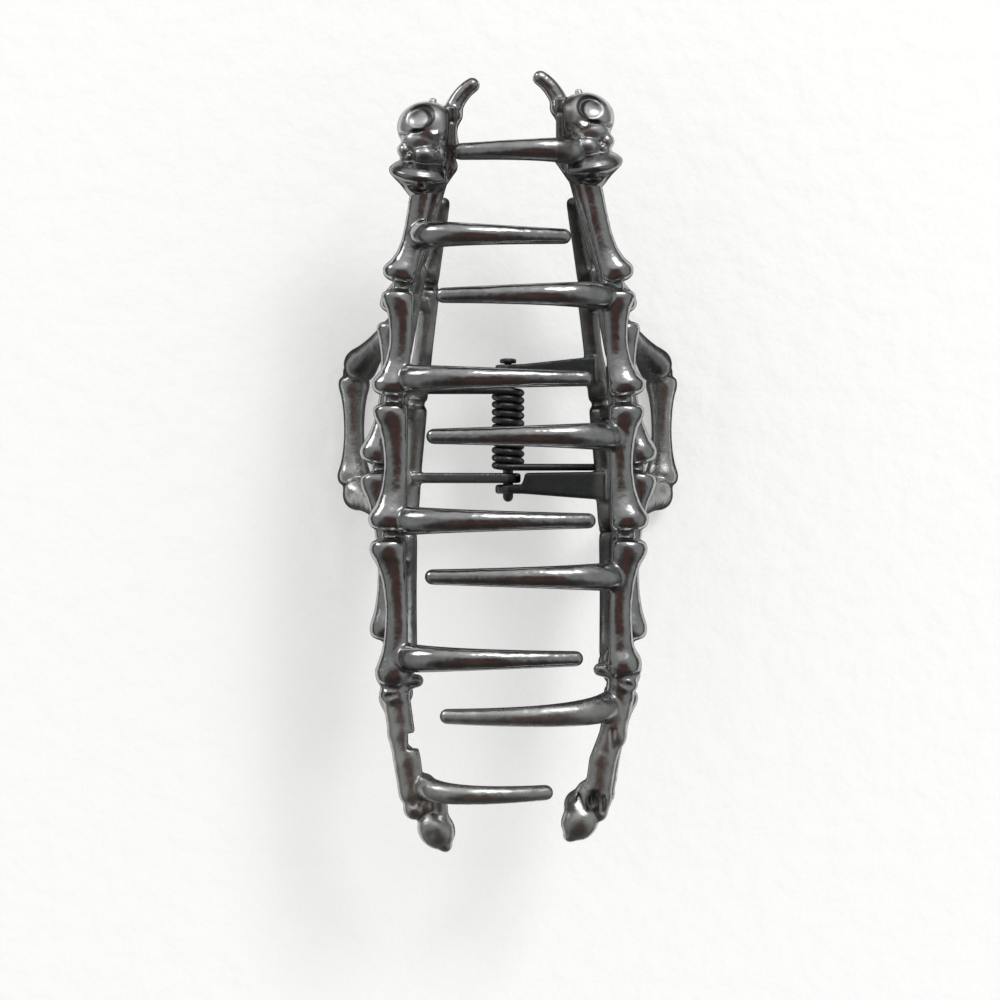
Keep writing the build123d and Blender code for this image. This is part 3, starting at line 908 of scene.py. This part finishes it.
def jaw_tones_and_painted_shade(graph, place, colour):
    """The casting's tones by place for both jaws, with painted shade and painted highlights among them.
    Also a mask of what is less polished, and the height.
    """
    split = graph.add("SeparateXYZ", {"Vector": place})
    y, z = split.outputs["Y"], split.outputs["Z"]
    x = graph.math("ABSOLUTE", split.outputs["X"])
    from_hinge = graph.math("ABSOLUTE", graph.math("SUBTRACT", y, HINGE_Y * MM))
    on_right = graph.math("GREATER_THAN", split.outputs["X"], 0.0)
    # The right skull sits further in and along, so its masks are moved back to the left one's place
    skull_x = graph.math("MULTIPLY_ADD", on_right, -NUDGE["right"][0] * MM, x)
    skull_y = graph.math("MULTIPLY_ADD", on_right, -NUDGE["right"][1] * MM, y)
    skull_place = graph.add("CombineXYZ", {"X": skull_x, "Y": skull_y}).outputs["Vector"]

    def region(*spans, within=None):
        """1 inside the spans of (source, full, none) in millimetres, falling to 0 outside them."""
        inside = within
        for source, full, none in spans:
            share = graph.share(source, none * MM, full * MM)
            inside = share if inside is None else graph.math("MULTIPLY", inside, share)
        return inside

    def far_from(px, py):
        inputs = {0: skull_place, 1: (px * MM, py * MM, 0)}
        return graph.add("VectorMath", inputs, operation="DISTANCE").outputs["Value"]

    head = [(x, 6.4, 5.8), (y, 38.5, 37.0)]
    top = (z, 37.5, 36.5)
    little = [(z, 24.0, 28.0), (x, 15.0, 16.0)]
    skulls = region(*head, top)
    strap_painted_shade = region(*head, (x, 8.0, 8.6), top)
    collar_painted_shade = region((x, 8.0, 7.4), (y, 35.0, 34.0), (y, 38.8, 40.0), top)
    painted_socket_shade = region((far_from(11.02, 44.18), 1.55, 1.75), (far_from(11.62, 43.80), 1.32, 1.08), top)
    painted_slit_shade = region(
        (skull_x, 10.9, 10.5), (skull_x, 12.2, 12.6),
        (skull_y, 42.26, 42.06), (skull_y, 42.46, 42.66), top,
    )
    forearms = region((y, -32.0, -30.5), (z, 35.0, 34.0))
    tones = [
        # Painted shade: the lugs, deep between the jaws, and the flank under the skull are darkened nearly
        # to black
        (region((x, 11.2, 12.2), (from_hinge, 9.8, 10.7), (z, 22.5, 24.5)), (0.165, 0.168, 0.177), "MIX"),
        (region((x, 8.2, 9.2), (y, 34.5, 33.5), (y, 40.0, 41.0), (z, 40.0, 41.5)), grey(0.06), "MIX"),
        # Painted shade on the loops towards the fingertips, and a painted highlight on their outer bone
        (region((x, 19.5, 17.5), (y, 13.0, 11.0)), grey(0.56), "MULTIPLY"),
        (region((x, 20.0, 19.0), (from_hinge, 6.0, 8.5)), (1.25, 1.25, 1.22), "MULTIPLY"),
        # The skulls are lighter. The plates beside them and the collar under each are darkened with painted
        # shade that dims their glints
        (skulls, grey(0.56), "MIX"),
        (strap_painted_shade, (0.20, 0.19, 0.185), "MIX"),
        (collar_painted_shade, grey(0.27), "MIX"),
        # Painted shade darkens the little fingers towards both ends
        (region((y, -11.5, -8.5), *little), (0.42, 0.42, 0.43), "MULTIPLY"),
        (region((y, 23.5, 21.5), *little), grey(0.60), "MULTIPLY"),
        (forearms, (1.22, 1.22, 1.18), "MULTIPLY"),
        # Painted shade in the edge of each socket and in the slit beside it
        (painted_socket_shade, grey(0.07), "MIX"),
        (painted_slit_shade, grey(0.06), "MIX"),
    ]
    # Painted shade in the hollows of the right forearm's end
    for low_x, high_x in ((10.2, 11.6), (7.0, 8.4)):
        across = [(x, low_x, low_x - 0.4), (x, high_x, high_x + 0.4)]
        painted_pit_shade = region(*across, (y, -45.2, -45.7), (y, -42.6, -42.1), (z, 35.0, 34.0), within=on_right)
        tones.append((painted_pit_shade, grey(0.40), "MULTIPLY"))
    # Painted shade on the low parts of the right hand, and painted light on those of both hands, so the
    # left ones end lighter
    tones.append((region(*little, within=on_right), grey(0.48), "MULTIPLY"))
    tones.append((region(*little), (1.25, 1.27, 1.22), "MULTIPLY"))
    for mask, shade, blend in tones:
        colour = graph.mix(colour, (*shade, 1), mask, blend)
    deep = region((z, 28.0, 34.0), (x, 17.5, 30.0))
    worn = graph.math("MAXIMUM", graph.math("MAXIMUM", skulls, deep), forearms)
    return colour, worn, z


def plated(name, tone, rough, grain, jaws=False):
    """Dark plating over a casting: cloudy tone, fine cast grain, darker in the hollows."""
    mat = bpy.data.materials.new(name)
    mat.use_nodes = True
    graph = Graph(mat.node_tree)
    place = graph.add("TexCoord").outputs["Object"]
    dark, light = (tuple(v * k for v in tone) + (1,) for k in (0.80, 1.12))
    tint = graph.ramp(graph.noise(place, 420, 4, 0.55), (0.30, dark), (0.70, light))
    pointiness = graph.add("NewGeometry").outputs["Pointiness"]
    hollow = graph.ramp(pointiness, (0.44, (0.30, 0.30, 0.31, 1)), (0.50, (1, 1, 1, 1)))
    colour = graph.mix(tint, hollow, 0.85, "MULTIPLY")
    dull = graph.share(graph.noise(place, 900, 5, 0.6), 0.35, 0.75, rough * 0.75, rough * 1.7)
    fine_strength = 1.0
    if jaws:
        # On the jaws: tones by place, with painted shade and painted highlights
        colour, worn, height = jaw_tones_and_painted_shade(graph, place, colour)
        dull = graph.math("MULTIPLY_ADD", worn, 0.14, dull)
        # The teeth, above the fingers, are smoother
        fine_strength = graph.share(height, 40.5 * MM, 42.5 * MM, 1.0, 0.25)
    # Grain in three sizes, as (scale, detail, height, strength)
    normal = {}
    for scale, detail, height, strength in (
        (300, 2, 50, 1.0),
        (1000, 3, 12, fine_strength),
        (2600, 3, 2.5, fine_strength),
    ):
        relief = graph.noise(place, scale, detail, 0.55)
        inputs = {"Height": relief, "Distance": grain * height, "Strength": strength, **normal}
        normal = {"Normal": graph.add("Bump", inputs).outputs["Normal"]}
    inputs = {"Metallic": 1.0, "Base Color": colour, "Roughness": dull, **normal}
    graph.fill(graph.nodes["Principled BSDF"], inputs)
    return mat


def floor_material():
    """A pale, slightly uneven surface."""
    mat = bpy.data.materials.new("pale_floor")
    mat.use_nodes = True
    graph = Graph(mat.node_tree)
    relief = graph.noise(graph.add("TexCoord").outputs["Object"], 260, 4, 0.5)
    bump = graph.add("Bump", {"Height": relief, "Distance": 0.0012, "Strength": 0.5})
    graph.fill(graph.nodes["Principled BSDF"], {
        "Base Color": (0.50, 0.498, 0.49, 1),
        "Roughness": 0.9,
        # A little light of its own stands in for what a bright room throws under the clip
        "Emission Color": (1.0, 1.0, 0.985, 1),
        "Emission Strength": 0.39,
        "Normal": bump.outputs["Normal"],
    })
    return mat


# ---- building ----

gunmetal = plated("gunmetal_casting", grey(0.40), 0.16, 0.0000045, jaws=True)
black = plated("black_steel", (0.135, 0.135, 0.143), 0.30, 0.000002)

for side, teeth, inner, body in (
    ("right", RIGHT_TEETH, False, "right_jaw"),
    ("left", LEFT_TEETH, True, "left_jaw"),
):
    group = [rail(side, teeth), hand(side, inner), skull(side)]
    for piece in group:
        piece.data.materials.append(gunmetal)
        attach(piece, body)
    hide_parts(f"jaw_{side}")

shank = pin()
shank.data.materials.append(black)
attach(shank, "left_jaw")
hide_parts("hinge_pin")

wound = spring()
wound.data.materials.append(black)
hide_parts("torsion_spring")
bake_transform(wound)

# ---- floor, light and camera ----

bpy.ops.mesh.primitive_plane_add(size=6.0, location=(0, 0, 0))
floor = bpy.context.object
floor.name = "floor"
floor.data.materials.append(floor_material())
floor.visible_glossy = False

# A card of the same stuff round the clip, which only reflections see: it keeps their pale rims narrow
corners = []
for half_x, half_y in ((88.0, 88.0), (33.0, 57.0)):
    corners += [(sx * half_x, sy * half_y, 0.02) for sx, sy in ((-1, -1), (1, -1), (1, 1), (-1, 1))]
card = solid("reflected_card", corners, [(k, (k + 1) % 4, (k + 1) % 4 + 4, k + 4) for k in range(4)])
card.data.materials.append(floor.data.materials[0])
card.visible_camera = False
card.visible_diffuse = False
card.visible_shadow = False
card.visible_transmission = False

# The room that reflections see, as patches of (way, colour, cosines where it is full and none)
ROOM = (0.24, 0.245, 0.245)
PATCHES = [
    ((-1, 0.1, 0.45), (0.37, 0.385, 0.375), 0.95, 0.60),
    ((1, 0.1, 0.45), (0.40, 0.41, 0.41), 0.95, 0.60),
    ((0, -0.80, 0.60), (0.050, 0.042, 0.040), 0.90, 0.50),
    ((0, 0.88, 0.48), (0.74, 0.75, 0.74), 0.95, 0.55),
    ((0, -0.22, 1), (0.110, 0.060, 0.050), 0.975, 0.83),
    ((0.24, 0.80, 0.55), (5.5, 5.5, 5.6), 0.985, 0.962),
    ((-0.74, 0.65, 0.17), (4.0, 4.0, 4.0), 0.988, 0.965),
    ((0, 0, -1), (0.09, 0.09, 0.09), 0.25, -0.03),
]
# The even light that everything else sees
STUDIO = (0.82, 0.82, 0.818)

world = bpy.data.worlds.new("studio")
bpy.context.scene.world = world
world.use_nodes = True
graph = Graph(world.node_tree)
looking = graph.add("TexCoord").outputs["Generated"]
room = (*ROOM, 1)
for way, colour, full, none in PATCHES:
    inputs = {0: looking, 1: Vector(way).normalized()}
    cosine = graph.add("VectorMath", inputs, operation="DOT_PRODUCT").outputs["Value"]
    patch = graph.share(cosine, none, full, interpolation_type="SMOOTHSTEP")
    room = graph.mix(room, (*colour, 1), patch)
reflected = graph.add("LightPath").outputs["Is Glossy Ray"]
sky = graph.mix((*STUDIO, 1), room, reflected)
graph.fill(graph.nodes["Background"], {"Color": sky, "Strength": 1.0})

light = bpy.data.lights.new("key", "AREA")
light.shape = "RECTANGLE"
light.size, light.size_y = 0.36, 0.36
light.energy = 8.4
key = bpy.data.objects.new("key", light)
bpy.context.scene.collection.objects.link(key)
key.location = (0.45, 0.60, 1.10)
key.rotation_euler = (Vector((0, 0, 0.02)) - key.location).to_track_quat("-Z", "Y").to_euler()
key.visible_glossy = False

cam = bpy.data.cameras.new("camera")
cam.sensor_width = 36
cam.lens = 117.2
cam.clip_start = 0.01
camera = bpy.data.objects.new("camera", cam)
bpy.context.scene.collection.objects.link(camera)
camera.location = (-1.1 * MM, -5.1 * MM, 0.460)
camera.rotation_euler = (0, 0, 0)
bpy.context.scene.camera = camera
bpy.context.scene.view_settings.view_transform = "Standard"
